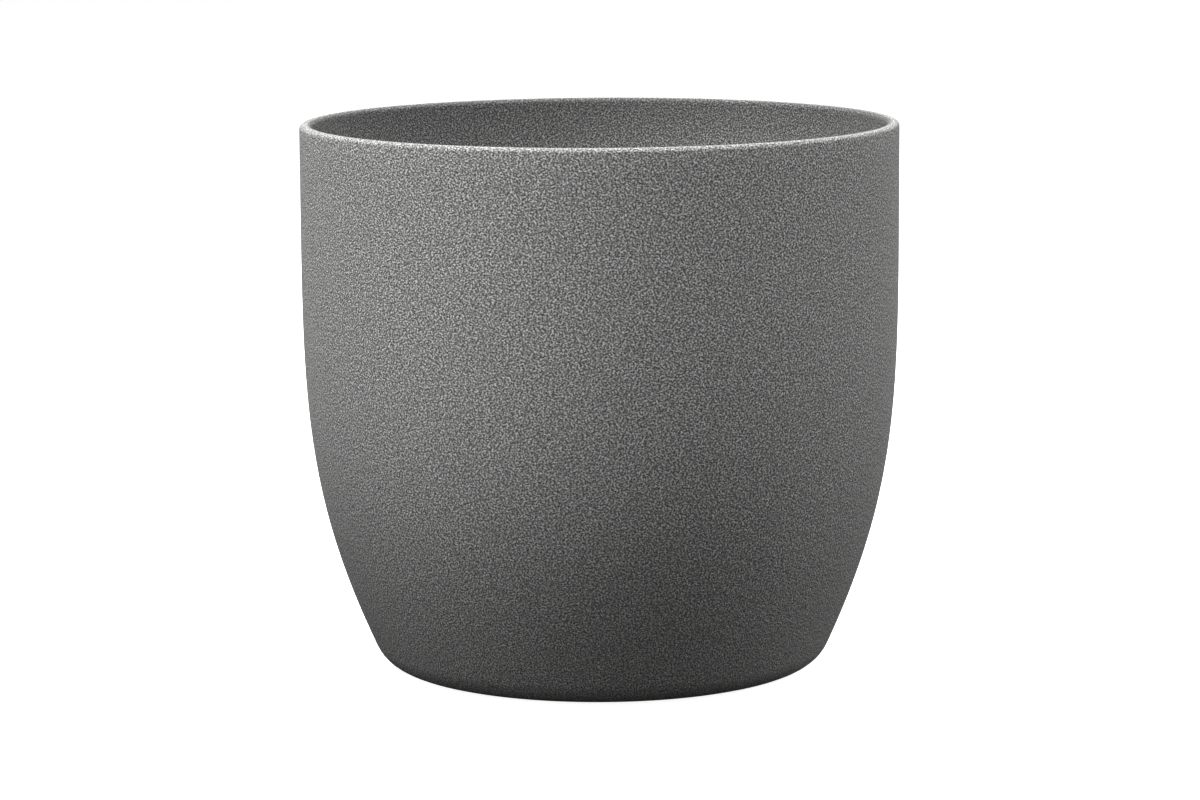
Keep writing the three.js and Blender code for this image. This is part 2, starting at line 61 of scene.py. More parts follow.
def arc(centre, radius, start, end, steps):
    """Points on a circle about centre, from one angle to another in degrees."""
    angles = [math.radians(start + (end - start) * i / steps) for i in range(steps + 1)]
    return [(centre[0] + radius * math.cos(a), centre[1] + radius * math.sin(a)) for a in angles]


def turned(outline, steps, closed=False):
    """A bmesh of an outline of (radius, height) points, spun about the upright axis."""
    bm = bmesh.new()
    verts = [bm.verts.new((radius, 0, height)) for radius, height in outline]
    pairs = list(zip(verts, verts[1:]))
    if closed:
        pairs.append((verts[-1], verts[0]))
    edges = [bm.edges.new(pair) for pair in pairs]
    bmesh.ops.spin(
        bm, geom=verts + edges, angle=math.tau, steps=steps, axis=(0, 0, 1), cent=(0, 0, 0),
        use_merge=True,
    )
    bmesh.ops.remove_doubles(bm, verts=bm.verts, dist=1e-6)
    bmesh.ops.recalc_face_normals(bm, faces=bm.faces)
    return bm


def made(name, bm, material, smooth_below=32):
    """An object at the origin from a bmesh, with edges sharper than smooth_below degrees kept hard."""
    for face in bm.faces:
        face.smooth = True
    for edge in bm.edges:
        edge.smooth = edge.calc_face_angle(math.pi) < math.radians(smooth_below)
    mesh = bpy.data.meshes.new(name)
    bm.to_mesh(mesh)
    bm.free()
    mesh.materials.append(material)
    piece = bpy.data.objects.new(name, mesh)
    bpy.context.scene.collection.objects.link(piece)
    return piece


def new_material(name):
    """A material with its Principled BSDF, and a Texture Coordinate node to start patterns from."""
    material = bpy.data.materials.new(name)
    material.use_nodes = True
    tree = material.node_tree
    return material, tree, tree.nodes["Principled BSDF"], tree.nodes.new("ShaderNodeTexCoord")


def noise(tree, scale, detail, roughness=0.55):
    """A noise texture whose lumps are about 1 / scale metres across."""
    texture = tree.nodes.new("ShaderNodeTexNoise")
    texture.inputs["Scale"].default_value = scale
    texture.inputs["Detail"].default_value = detail
    texture.inputs["Roughness"].default_value = roughness
    return texture


def ramp(tree, source, stops):
    """A colour ramp on a value. stops are (position, grey or colour)."""
    node = tree.nodes.new("ShaderNodeValToRGB")
    while len(node.color_ramp.elements) < len(stops):
        node.color_ramp.elements.new(0.5)
    for element, (position, colour) in zip(node.color_ramp.elements, stops):
        element.position = position
        element.color = (colour, colour, colour, 1) if isinstance(colour, float) else (*colour, 1)
    tree.links.new(source, node.inputs["Fac"])
    return node


def mixed(tree, blend_type, factor, first, second):
    """A colour mix of two sockets, with a fixed factor or a socket for it."""
    node = tree.nodes.new("ShaderNodeMix")
    node.data_type = "RGBA"
    node.blend_type = blend_type
    if isinstance(factor, float):
        node.inputs["Factor"].default_value = factor
    else:
        tree.links.new(factor, node.inputs["Factor"])
    tree.links.new(first, node.inputs["A"])
    tree.links.new(second, node.inputs["B"])
    return node.outputs["Result"]


def between(tree, source, low, high, at_low, at_high):
    """A value that runs from at_low to at_high while the source runs from low to high."""
    node = tree.nodes.new("ShaderNodeMapRange")
    limits = (("From Min", low), ("From Max", high), ("To Min", at_low), ("To Max", at_high))
    for name, value in limits:
        node.inputs[name].default_value = value
    tree.links.new(source, node.inputs["Value"])
    return node.outputs["Result"]


def product(tree, first, second):
    """The product of two values."""
    node = tree.nodes.new("ShaderNodeMath")
    node.operation = "MULTIPLY"
    tree.links.new(first, node.inputs[0])
    tree.links.new(second, node.inputs[1])
    return node.outputs["Value"]


def bumped(tree, shader, height, strength, distance):
    """Relief on a shader's surface, from a height that runs from 0 to 1 over the distance."""
    bump = tree.nodes.new("ShaderNodeBump")
    bump.inputs["Strength"].default_value = strength
    bump.inputs["Distance"].default_value = distance
    tree.links.new(height, bump.inputs["Height"])
    tree.links.new(bump.outputs["Normal"], shader.inputs["Normal"])


pot_low, pot_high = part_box("outer_pot")
foot_level = pot_low.z
pot_radius = 120 * mm
pot_wall = 5 * mm
foot_radius = 78 * mm
foot_fillet = 15.4 * mm
flank_angle = 65.6
flank_pull = 1.107
shoulder = 102.4 * mm
lip_round = 1.8 * mm
base_thickness = 7 * mm
inner_fillet = 8 * mm
recess_radius = 68 * mm
recess_depth = 2 * mm
recess_edge = 1.2 * mm
grain = 0.70 * mm
unroll_radius = 108 * mm
pot_steps = 224

flank = math.radians(flank_angle)
wall_foot = Vector((
    foot_radius + foot_fillet * math.sin(flank), foot_level + foot_fillet * (1 - math.cos(flank)),
))
flank_run = (pot_radius - wall_foot.x) / math.cos(flank) * flank_pull
wall_control = [
    wall_foot,
    wall_foot + flank_run * Vector((math.cos(flank), math.sin(flank))),
    Vector((pot_radius, pot_high.z - shoulder)),
    Vector((pot_radius, pot_high.z - lip_round)),
]


def on_wall(share):
    """A point on the wall's outer curve and the direction in which the curve runs there."""
    a, b, c, d = wall_control
    rest = 1 - share
    point = rest**3 * a + 3 * rest**2 * share * b + 3 * rest * share**2 * c + share**3 * d
    along = rest**2 * (b - a) + 2 * rest * share * (c - b) + share**2 * (d - c)
    return point, along.normalized()


wall_rows = 40
wall_line = [on_wall(i / wall_rows) for i in range(wall_rows + 1)]
inner_line = [point + pot_wall * Vector((-along.y, along.x)) for point, along in wall_line]
base_top = foot_level + base_thickness
corner = inner_line[0].x - (inner_line[0].y - base_top) / math.tan(flank)
floor_radius = corner - inner_fillet * math.tan(flank / 2)
lip_level = pot_high.z - lip_round

pot_outline = [(0, foot_level + recess_depth)]
pot_outline += arc((recess_radius - recess_depth, foot_level), recess_depth, 90, 20, 5)
pot_outline += arc((recess_radius + recess_edge, foot_level + recess_edge), recess_edge, 200, 270, 4)
pot_outline += arc((foot_radius, foot_level + foot_fillet), foot_fillet, -90, flank_angle - 90, 10)
pot_outline += [tuple(point) for point, along in wall_line[1:]]
pot_outline += arc((pot_radius - lip_round, lip_level), lip_round, 0, 90, 8)[1:]
pot_outline += arc((pot_radius - pot_wall + lip_round, lip_level), lip_round, 90, 180, 8)
pot_outline += [tuple(point) for point in reversed(inner_line[:-1])]
pot_outline += arc(
    (floor_radius, base_top + inner_fillet), inner_fillet, flank_angle - 90, -90, 8,
)[1:]
pot_outline += [(0, base_top)]


def unrolled(bm, outline, radius):
    """Gives a turned bmesh a UV map in metres: round the axis at one radius, and along the outline."""
    nearest = KDTree(len(outline))
    run = [0]
    for number, (point_radius, height) in enumerate(outline):
        nearest.insert((point_radius, height, 0), number)
        if number:
            run.append(run[-1] + math.dist(outline[number - 1], outline[number]))
    nearest.balance()
    layer = bm.loops.layers.uv.new("unrolled")
    for face in bm.faces:
        middle = face.calc_center_median()
        centre = math.atan2(middle.x, -middle.y)
        for loop in face.loops:
            x, y, height = loop.vert.co
            off_axis = math.hypot(x, y)
            angle = math.atan2(x, -y) - centre if off_axis > 1e-6 else 0
            angle = centre + (angle + math.pi) % math.tau - math.pi
            loop[layer].uv = (angle * radius, run[nearest.find((off_axis, height, 0))[1]])
    return bm


# The coat is sprayed grit: pale and dark grains about a millimetre apart, each a little proud.
stone, tree, shader, coords = new_material("stone_coat")
grains = noise(tree, 1 / grain, 0.0)
crossed = noise(tree, 1.12 / grain, 0.0)
fine = noise(tree, 2.1 / grain, 0.0)
cells = tree.nodes.new("ShaderNodeTexVoronoi")
cells.feature = "SMOOTH_F1"
cells.inputs["Scale"].default_value = 0.9 / grain
cells.inputs["Smoothness"].default_value = 0.35
flecks = tree.nodes.new("ShaderNodeTexVoronoi")
flecks.inputs["Scale"].default_value = 0.6 / grain
clouds = noise(tree, 0.42 / grain, 1.0)
for texture in (grains, crossed, fine):
    texture.noise_dimensions = "2D"
for texture in (cells, flecks):
    texture.voronoi_dimensions = "2D"
for texture, slant in ((grains, 25), (crossed, 68), (fine, 43), (cells, 12), (flecks, 57)):
    mapping = tree.nodes.new("ShaderNodeMapping")
    mapping.inputs["Rotation"].default_value = (0, 0, math.radians(slant))
    tree.links.new(coords.outputs["UV"], mapping.inputs["Vector"])
    tree.links.new(mapping.outputs["Vector"], texture.inputs["Vector"])
tree.links.new(coords.outputs["Object"], clouds.inputs["Vector"])
grit = mixed(tree, "MIX", 0.5, grains.outputs["Fac"], crossed.outputs["Fac"])
stone_tone = ramp(tree, grit, [
    (0.34, (0.066, 0.066, 0.065)), (0.46, (0.134, 0.134, 0.132)),
    (0.54, (0.204, 0.203, 0.200)), (0.68, (0.41, 0.408, 0.402)),
])
pits = ramp(tree, cells.outputs["Distance"], [(0.25, 1.0), (0.75, 0.62)])
cloud_tone = ramp(tree, clouds.outputs["Fac"], [(0.3, 0.83), (0.7, 1.17)])
fleck_tone = ramp(tree, flecks.outputs["Distance"], [
    (0.10, (0.30, 0.30, 0.295)), (0.22, (0.0, 0.0, 0.0)),
])
tone = mixed(tree, "MULTIPLY", 1.0, stone_tone.outputs["Color"], pits.outputs["Color"])
tone = mixed(tree, "MULTIPLY", 1.0, tone, cloud_tone.outputs["Color"])
tone = mixed(tree, "SCREEN", 0.15, tone, fleck_tone.outputs["Color"])

# Painted shade and painted highlight: inside the mouth the coat's colour is darkened, most near the
# lip, and over the top of the lip it is lightened, in place of the shade and light that fall there.
mouth_shade_depth, darkest_shade_depth = 24 * mm, 3 * mm
upright_from, upright_full = 120 * mm, 130 * mm
lip_highlight_depth = 1.2 * mm
position = tree.nodes.new("ShaderNodeSeparateXYZ")
tree.links.new(coords.outputs["Object"], position.inputs["Vector"])
across = tree.nodes.new("ShaderNodeVectorMath")
across.operation = "MULTIPLY"
across.inputs[1].default_value = (1, 1, 0)
tree.links.new(coords.outputs["Object"], across.inputs[0])
off_axis = tree.nodes.new("ShaderNodeVectorMath")
off_axis.operation = "LENGTH"
tree.links.new(across.outputs["Vector"], off_axis.inputs[0])
inside_share = between(
    tree, off_axis.outputs["Value"], pot_radius - pot_wall + 1 * mm, pot_radius - pot_wall / 2, 1, 0,
)
upright_share = between(tree, position.outputs["Z"], upright_from, upright_full, 0, 1)
# Painted shade: the inner wall's colour runs from 0.78 at 24 mm below the top down to 0.44 at 3 mm
# below it.
painted_mouth_shade = between(
    tree, position.outputs["Z"], pot_high.z - mouth_shade_depth, pot_high.z - darkest_shade_depth, 0.78, 0.44,
)
# Painted highlight: the top 1.2 mm of the lip is lightened, up to 1.2 times at the very top.
painted_lip_highlight = between(tree, position.outputs["Z"], pot_high.z - lip_highlight_depth, pot_high.z, 1, 1.2)
painted_inner_shade = tree.nodes.new("ShaderNodeMix")
tree.links.new(product(tree, inside_share, upright_share), painted_inner_shade.inputs["Factor"])
painted_inner_shade.inputs["A"].default_value = 1
tree.links.new(painted_mouth_shade, painted_inner_shade.inputs["B"])
# The painted shade and the painted highlight together scale the coat's colour.
painted_light_factor = product(tree, painted_inner_shade.outputs["Result"], painted_lip_highlight)
tone = mixed(tree, "MULTIPLY", 1.0, tone, painted_light_factor)
tree.links.new(tone, shader.inputs["Base Color"])
shader.inputs["Specular IOR Level"].default_value = 0.25
rough = ramp(tree, fine.outputs["Fac"], [(0.3, 0.75), (0.7, 0.95)])
tree.links.new(rough.outputs["Color"], shader.inputs["Roughness"])
relief = mixed(tree, "ADD", 0.5, grit, fine.outputs["Fac"])
relief = mixed(tree, "SUBTRACT", 0.5, relief, cells.outputs["Distance"])
bumped(tree, shader, relief, 0.5, 0.3 * mm)

bm = unrolled(turned(pot_outline, pot_steps), pot_outline, unroll_radius)
stone_pot = made("stone_pot", bm, stone)
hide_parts("outer_pot")
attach(stone_pot, "pot")


# ---------------------------------------------------------------- the rubber pads
# Four soft black discs with rounded edges, stuck into the recess under the pot. They carry it a
# millimetre clear of the table.

pad_edge = 0.5 * mm

rubber, tree, shader, coords = new_material("pad_rubber")
dust = noise(tree, 900, 3.0)
tree.links.new(coords.outputs["Object"], dust.inputs["Vector"])
pad_tone = ramp(tree, dust.outputs["Fac"], [
    (0.35, (0.014, 0.014, 0.014)), (0.75, (0.035, 0.034, 0.033)),
])
pad_rough = ramp(tree, dust.outputs["Fac"], [(0.3, 0.7), (0.7, 0.9)])
tree.links.new(pad_tone.outputs["Color"], shader.inputs["Base Color"])
tree.links.new(pad_rough.outputs["Color"], shader.inputs["Roughness"])
bumped(tree, shader, dust.outputs["Fac"], 0.3, 0.1 * mm)

for number in range(1, 5):
    node = f"foot_pad_{number}"
    low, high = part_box(node)
    radius = (high.x - low.x) / 2
    outline = [(0, low.z)]
    outline += arc((radius - pad_edge, low.z + pad_edge), pad_edge, -90, 0, 4)
    outline += arc((radius - pad_edge, high.z - pad_edge), pad_edge, 0, 90, 4)
    outline += [(0, high.z)]
    bm = turned(outline, 48)
    bmesh.ops.translate(bm, verts=bm.verts, vec=((low.x + high.x) / 2, (low.y + high.y) / 2, 0))
    pad = made(f"rubber_pad_{number}", bm, rubber)
    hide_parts(node)
    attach(pad, "pot")


# ---------------------------------------------------------------- the liner
# Injection-moulded polypropylene bucket, 2.2 mm thick, in a fine satin anthracite. It stands on a foot
# ring, steps out at the ledge that carries the platform, and has a channel for the handles in its rim.

def plastic_group():
    """A node group for moulded plastic: a fine spark-eroded grain and faint clouding of the colour."""
    group = bpy.data.node_groups.new("moulded_plastic", "ShaderNodeTree")
    group.interface.new_socket(name="Vector", in_out="INPUT", socket_type="NodeSocketVector")
    for name, kind, value in (
        ("Color", "NodeSocketColor", (0.1, 0.1, 0.1, 1)),
        ("Roughness", "NodeSocketFloat", 0.5),
        ("Grain", "NodeSocketFloat", 1600.0),
    ):
        socket = group.interface.new_socket(name=name, in_out="INPUT", socket_type=kind)
        socket.default_value = value
    for name, kind in (
        ("Color", "NodeSocketColor"), ("Roughness", "NodeSocketFloat"), ("Height", "NodeSocketFloat"),
    ):
        group.interface.new_socket(name=name, in_out="OUTPUT", socket_type=kind)
    given = group.nodes.new("NodeGroupInput")
    result = group.nodes.new("NodeGroupOutput")
    grain_texture = noise(group, 1600, 3.0, 0.6)
    cloud_texture = noise(group, 22, 2.0)
    for texture in (grain_texture, cloud_texture):
        group.links.new(given.outputs["Vector"], texture.inputs["Vector"])
    group.links.new(given.outputs["Grain"], grain_texture.inputs["Scale"])
    cloud = ramp(group, cloud_texture.outputs["Fac"], [(0.3, 0.9), (0.7, 1.08)])
    speck = ramp(group, grain_texture.outputs["Fac"], [(0.3, 0.86), (0.7, 1.12)])
    colour = mixed(group, "MULTIPLY", 1.0, given.outputs["Color"], cloud.outputs["Color"])
    colour = mixed(group, "MULTIPLY", 1.0, colour, speck.outputs["Color"])
    group.links.new(colour, result.inputs["Color"])
    roughness_spread = 0.24
    spread = group.nodes.new("ShaderNodeMath")
    spread.operation = "MULTIPLY_ADD"
    spread.inputs[1].default_value = roughness_spread
    group.links.new(grain_texture.outputs["Fac"], spread.inputs[0])
    group.links.new(given.outputs["Roughness"], spread.inputs[2])
    centred = group.nodes.new("ShaderNodeMath")
    centred.operation = "SUBTRACT"
    centred.inputs[1].default_value = roughness_spread / 2
    group.links.new(spread.outputs["Value"], centred.inputs[0])
    group.links.new(centred.outputs["Value"], result.inputs["Roughness"])
    group.links.new(grain_texture.outputs["Fac"], result.inputs["Height"])
    return group


moulded = plastic_group()


def plastic(name, colour, roughness, grain_scale, relief):
    """A moulded plastic in one colour. relief is the depth of its grain in metres."""
    material, tree, shader, coords = new_material(name)
    surface = tree.nodes.new("ShaderNodeGroup")
    surface.node_tree = moulded
    surface.inputs["Color"].default_value = (*colour, 1)
    surface.inputs["Roughness"].default_value = roughness
    surface.inputs["Grain"].default_value = grain_scale
    tree.links.new(coords.outputs["Object"], surface.inputs["Vector"])
    tree.links.new(surface.outputs["Color"], shader.inputs["Base Color"])
    tree.links.new(surface.outputs["Roughness"], shader.inputs["Roughness"])
    bumped(tree, shader, surface.outputs["Height"], 0.4, relief)
    return material


def facing(bm, direction):
    """Turns an open sheet so that the face nearest to the start of its outline faces that way."""
    bm.faces.ensure_lookup_table()
    if bm.faces[0].normal.dot(direction) < 0:
        bmesh.ops.reverse_faces(bm, faces=bm.faces)


def without(bm, is_gone):
    """Deletes the faces whose centre, as an angle in degrees and a height, is_gone."""
    gone = []
    for face in bm.faces:
        centre = face.calc_center_median()
        if is_gone(math.degrees(math.atan2(centre.y, centre.x)) % 360, centre.z):
            gone.append(face)
    bmesh.ops.delete(bm, geom=gone, context="FACES")


def from_centre(angle, first, spacing):
    """How far an angle is from the nearest of evenly spaced ones, first among them, in degrees."""
    return abs((angle - first + spacing / 2) % spacing - spacing / 2)


def thickened(piece, wall, edge):
    """Gives a sheet its wall behind its faces, and breaks the sharp edges, as a mould does."""
    shell = piece.modifiers.new("wall", "SOLIDIFY")
    shell.thickness = wall
    shell.offset = -1
    shell.use_even_offset = True
    eased(piece, edge)


def eased(piece, edge, segments=2):
    """Rounds a piece's sharp edges over."""
    bevel = piece.modifiers.new("edges", "BEVEL")
    bevel.width = edge
    bevel.segments = segments
    bevel.limit_method = "ANGLE"
    bevel.angle_limit = math.radians(38)
    bevel.use_clamp_overlap = True


def joined(bm, *others):
    """Adds other bmeshes to the first as loose shells of the same piece."""
    for other in others:
        mesh = bpy.data.meshes.new("part")
        other.to_mesh(mesh)
        other.free()
        bm.from_mesh(mesh)
        bpy.data.meshes.remove(mesh)


def block(low, high):
    """A box between two corners."""
    bm = bmesh.new()
    size = Vector(high) - Vector(low)
    middle = (Vector(high) + Vector(low)) / 2
    matrix = Matrix.Translation(middle) @ Matrix.Diagonal((*size, 1))
    bmesh.ops.create_cube(bm, size=1, matrix=matrix)
    return bm


liner_low, liner_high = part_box("liner")
platform_low, platform_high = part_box("platform")
liner_wall = 2.2 * mm
liner_floor = liner_low.z + 6.4 * mm
liner_radius = liner_high.x
reservoir_radius = 75.75 * mm
ledge_level = 55.3 * mm
ledge_radius = 77.95 * mm
ledge_width = 4.5 * mm
channel_depth = 9 * mm
channel_width = 11 * mm
collar = 1.8 * mm
liner_floor_edge = 40 * mm
foot_ring_inner = reservoir_radius - 2.2 * mm
foot_ring_outer = reservoir_radius + 2.1 * mm
overflow_half_angle = 5
overflow_low, overflow_high = 46.3 * mm, 50.3 * mm
rib_count = 24
rib_half = 0.9 * mm
rib_proud = 1.1 * mm

channel_floor = liner_high.z - channel_depth
channel_outer = liner_radius - collar
channel_inner = channel_outer - channel_width


def liner_inside(height):
    """The liner's inner radius between its ledge and the handles' channel."""
    share = (height - ledge_level) / (channel_floor - ledge_level)
    low_radius = ledge_radius + ledge_width
    return low_radius + share * (channel_inner - low_radius)


def reservoir_inside(height):
    """The liner's inner radius between its floor and its ledge."""
    share = (height - liner_floor) / (ledge_level - liner_floor)
    return reservoir_radius + share * (ledge_radius - reservoir_radius)


liner_outline = [
    (0, liner_floor), (liner_floor_edge, liner_floor), (reservoir_radius - 3 * mm, liner_floor),
]
liner_outline += arc((reservoir_radius - 2 * mm, liner_floor + 2 * mm), 2 * mm, -60, -3, 4)
liner_outline += [(reservoir_inside(level), level) for level in (overflow_low, overflow_high)]
liner_outline += [(ledge_radius, ledge_level), (ledge_radius + ledge_width, ledge_level)]
for height in (62 * mm, 90 * mm, 120 * mm, 150 * mm, channel_floor - 1 * mm):
    liner_outline.append((liner_inside(height), height))
liner_outline += [(channel_inner, channel_floor), (channel_outer, channel_floor)]
liner_outline += [(channel_outer, liner_high.z)]

anthracite = plastic("anthracite_plastic", (0.030, 0.032, 0.034), 0.5, 1500, 0.06 * mm)
bm = turned(liner_outline, 144)
facing(bm, Vector((0, 0, 1)))
without(bm, lambda angle, height: overflow_low < height < overflow_high
        and from_centre(angle, 45, 90) < overflow_half_angle)
liner = made("liner_bucket", bm, anthracite)
thickened(liner, liner_wall, 0.45 * mm)
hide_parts("liner")
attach(liner, "liner")

# The liner's foot ring, the stiffening ribs down its outside, and the posts that hold the handle pins.
foot_ring_top = liner_floor - 1.5 * mm
fittings = turned([
    (foot_ring_inner, liner_low.z), (foot_ring_outer, liner_low.z),
    (foot_ring_outer, foot_ring_top), (foot_ring_inner, foot_ring_top),
], 144, closed=True)
rib_low, rib_high = ledge_level + 2 * mm, channel_floor - 6 * mm
lean = liner_inside(rib_high) - liner_inside(rib_low)
for number in range(rib_count):
    rib = block(
        (liner_inside(rib_low) + 0.5 * mm, -rib_half, rib_low),
        (liner_inside(rib_low) + liner_wall + rib_proud, rib_half, rib_high),
    )
    for vert in rib.verts:
        if vert.co.z > (rib_low + rib_high) / 2:
            vert.co.x += lean
    turn = Matrix.Rotation(math.tau * (number + 0.5) / rib_count, 4, "Z")
    bmesh.ops.transform(rib, matrix=turn, verts=rib.verts)
    joined(fittings, rib)
pivot = Vector(joints["handle_right_fold"]["pos_m"])
post_half = 3.2 * mm
post_start, post_end = 66.71 * mm, 72.21 * mm
post_round = 1.6 * mm
for side in (-1, 1):
    for end in (-1, 1):
        near, far = sorted((end * post_start, end * post_end))
        post = block(
            (side * pivot.x - post_half, near, channel_floor - 1 * mm),
            (side * pivot.x + post_half, far, pivot.z + post_half),
        )
        top = [edge for edge in post.edges
               if all(vert.co.z > pivot.z for vert in edge.verts)
               and abs(edge.verts[0].co.x - edge.verts[1].co.x) < 1e-6]
        bmesh.ops.bevel(
            post, geom=top, offset=post_round, segments=4, profile=0.5, affect="EDGES", material=-1,
        )
        joined(fittings, post)
fittings = made("liner_fittings", fittings, anthracite)
eased(fittings, 0.35 * mm)
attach(fittings, "liner")


# ---------------------------------------------------------------- handle pins and the lid's pin
# Drawn stainless wire with its ends rounded over. The handles' pins are pressed into the liner's
# posts, and the lid's pin into the ears of the fill tube.

def wire_pin(name, node, axis, material):
    """A round pin that fills a node's box along an axis, "X" or "Y"."""
    low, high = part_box(node)
    size = high - low
    length = size.x if axis == "X" else size.y
    radius = size.z / 2
    chamfer = radius * 0.25
    outline = [(0, -length / 2)]
    outline += arc((radius - chamfer, chamfer - length / 2), chamfer, -90, 0, 3)
    outline += arc((radius - chamfer, length / 2 - chamfer), chamfer, 0, 90, 3)
    outline += [(0, length / 2)]
    bm = turned(outline, 32)
    turn = Matrix.Rotation(math.pi / 2, 4, "Y" if axis == "X" else "X")
    bmesh.ops.transform(bm, matrix=Matrix.Translation((low + high) / 2) @ turn, verts=bm.verts)
    pin = made(name, bm, material)
    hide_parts(node)
    return pin


steel, tree, shader, coords = new_material("drawn_steel")
shader.inputs["Metallic"].default_value = 1.0
lines = noise(tree, 1400, 3.0, 0.7)
tree.links.new(coords.outputs["Object"], lines.inputs["Vector"])
steel_tone = ramp(tree, lines.outputs["Fac"], [(0.3, (0.42, 0.42, 0.43)), (0.7, (0.60, 0.60, 0.61))])
steel_rough = ramp(tree, lines.outputs["Fac"], [(0.3, 0.22), (0.7, 0.42)])
tree.links.new(steel_tone.outputs["Color"], shader.inputs["Base Color"])
tree.links.new(steel_rough.outputs["Color"], shader.inputs["Roughness"])

for number in range(1, 5):
    pin = wire_pin(f"handle_wire_pin_{number}", f"handle_pin_{number}", "Y", steel)
    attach(pin, "liner")
lid_wire = wire_pin("lid_wire_pin", "lid_pin", "X", steel)
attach(lid_wire, "platform")


# ---------------------------------------------------------------- the lifting handles
# Two pale grey mouldings, each an arc of about 70 degrees that lies in the liner's channel, with an
# eye for a pin at each end and a finger tab in the middle of its inner edge.

handle_colour = plastic("pale_plastic", (0.15, 0.153, 0.154), 0.42, 1700, 0.04 * mm)
handle_half_angle = 36
handle_thick, handle_high = 5.6 * mm, 6.4 * mm
handle_clearance = 1.4 * mm
eye_bore = 1.9 * mm
eye_length = 9 * mm
eye_start = post_start - 0.5 * mm - eye_length
tab_half_angle = 12
tab_reach, tab_drop = 2.8 * mm, 2.1 * mm
handle_outer = channel_outer - handle_clearance
handle_inner = handle_outer - handle_thick
handle_bottom = pivot.z - handle_high / 2
handle_top = pivot.z + handle_high / 2


def ring_part(inner, outer, bottom, top, half_angle, steps):
    """A solid part of a flat ring, half_angle degrees to each side of +X."""
    bm = bmesh.new()
    corners = [(inner, bottom), (outer, bottom), (outer, top), (inner, top)]
    verts = [bm.verts.new((radius, 0, height)) for radius, height in corners]
    edges = [bm.edges.new((verts[i], verts[(i + 1) % 4])) for i in range(4)]
    back = Matrix.Rotation(-math.radians(half_angle), 3, "Z")
    bmesh.ops.rotate(bm, verts=bm.verts, matrix=back)
    bmesh.ops.spin(
        bm, geom=verts + edges, angle=math.radians(2 * half_angle), steps=steps,
        axis=(0, 0, 1), cent=(0, 0, 0),
    )
    bmesh.ops.holes_fill(bm, edges=bm.edges, sides=4)
    bmesh.ops.recalc_face_normals(bm, faces=bm.faces)
    return bm


for side, node in ((1, "handle_right"), (-1, "handle_left")):
    bm = ring_part(handle_inner, handle_outer, handle_bottom, handle_top, handle_half_angle, 36)
    tab = ring_part(
        handle_inner - tab_reach, handle_inner + 1 * mm, handle_bottom, handle_top - tab_drop,
        tab_half_angle, 12,
    )
    eyes = []
    for end in (-1, 1):
        eye = turned([
            (eye_bore, 0), (handle_high / 2, 0), (handle_high / 2, eye_length), (eye_bore, eye_length),
        ], 40, closed=True)
        turn = Matrix.Rotation(-math.pi / 2 * end, 4, "X")
        to_pivot = Matrix.Translation((pivot.x, end * eye_start, pivot.z))
        bmesh.ops.transform(eye, matrix=to_pivot @ turn, verts=eye.verts)
        eyes.append(eye)
    joined(bm, tab, *eyes)
    if side < 0:
        bmesh.ops.rotate(bm, verts=bm.verts, matrix=Matrix.Rotation(math.pi, 3, "Z"))
    handle = made(f"carry_{node}", bm, handle_colour)
    eased(handle, 0.6 * mm, 3)
    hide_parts(node)
    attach(handle, node)


# ---------------------------------------------------------------- the platform
# A moulded disc that separates soil from water: slots for air and water, six collared holes for the
# cups, the fill tube and the gauge, and a low skirt round its edge.

def around(x, y, radius, count):
    """Points spaced evenly on a circle about (x, y)."""
    angles = [math.tau * i / count for i in range(count)]
    return [(x + radius * math.cos(a), y + radius * math.sin(a)) for a in angles]


def flat_plate(name, outer, holes, slots, bottom, thickness, edge):
    """A bmesh of a flat disc with round holes (x, y, radius) and slots (from, to, width, angle)."""
    curve = bpy.data.curves.new(name, "CURVE")
    curve.dimensions = "2D"
    curve.fill_mode = "BOTH"
    curve.extrude = thickness / 2 - edge
    curve.bevel_depth = edge
    curve.bevel_resolution = 2
    loops = [around(0, 0, outer - edge, 160)]
    loops += [around(x, y, radius + edge, 64) for x, y, radius in holes]
    for start, stop, width, angle in slots:
        half = width / 2 + edge
        shape = arc((start + width / 2, 0), half, 90, 270, 8)
        shape += arc((stop - width / 2, 0), half, -90, 90, 8)
        cos, sin = math.cos(angle), math.sin(angle)
        loops.append([(x * cos - y * sin, x * sin + y * cos) for x, y in shape])
    for loop in loops:
        spline = curve.splines.new("POLY")
        spline.points.add(len(loop) - 1)
        for point, (x, y) in zip(spline.points, loop):
            point.co = (x, y, 0, 1)
        spline.use_cyclic_u = True
    holder = bpy.data.objects.new(name, curve)
    bpy.context.scene.collection.objects.link(holder)
    filled = holder.evaluated_get(bpy.context.evaluated_depsgraph_get())
    mesh = bpy.data.meshes.new_from_object(filled)
    bm = bmesh.new()
    bm.from_mesh(mesh)
    bpy.data.objects.remove(holder)
    bpy.data.curves.remove(curve)
    bpy.data.meshes.remove(mesh)
    bmesh.ops.remove_doubles(bm, verts=bm.verts, dist=1e-6)
    bmesh.ops.translate(bm, verts=bm.verts, vec=(0, 0, bottom + thickness / 2))
    bmesh.ops.recalc_face_normals(bm, faces=bm.faces)
    return bm


platform_plastic = plastic("platform_plastic", (0.052, 0.056, 0.060), 0.52, 1400, 0.05 * mm)
plate_thickness = 2.6 * mm
plate_bottom = ledge_level + 0.3 * mm
plate_top = plate_bottom + plate_thickness
skirt_wall, skirt_chamfer = 1.8 * mm, 0.5 * mm
slot_width = 2.8 * mm
hole_gap = 0.4 * mm
collar_wall = 1.8 * mm
platform_radius = platform_high.x


def middle_of(node):
    """Where the middle of a node's box lies, seen from above."""
    low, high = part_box(node)
    return (low.x + high.x) / 2, (low.y + high.y) / 2


